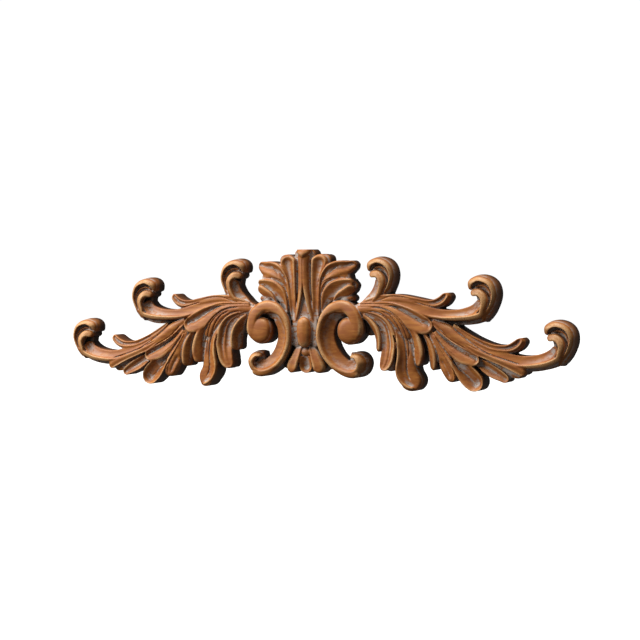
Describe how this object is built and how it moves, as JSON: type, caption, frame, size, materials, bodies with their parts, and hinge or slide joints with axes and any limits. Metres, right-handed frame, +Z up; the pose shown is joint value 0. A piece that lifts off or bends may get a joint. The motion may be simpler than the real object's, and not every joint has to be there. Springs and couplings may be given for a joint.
{
  "type": "carved wood overdoor ornament",
  "caption": "Carved wood overdoor ornament with a central palmette, paired C scrolls and leafy sprays that end in hooked curls, flat behind for fixing to a wall.",
  "frame": {"origin": "centre of the flat back, on the wall plane, on the ornament's middle line and halfway up", "axes": "+X along the wall to the right as seen from the front, +Y into the wall, +Z up; the carving faces -Y"},
  "size_m": [0.7442, 0.0305, 0.1854],
  "materials": {
    "carved_wood": "stained brown, rubbed on the ridges, dark in the hollows, soft satin wax"
  },
  "bodies": {
    "root": {"carved_ornament": "carved_wood"}
  },
  "joints": []
}
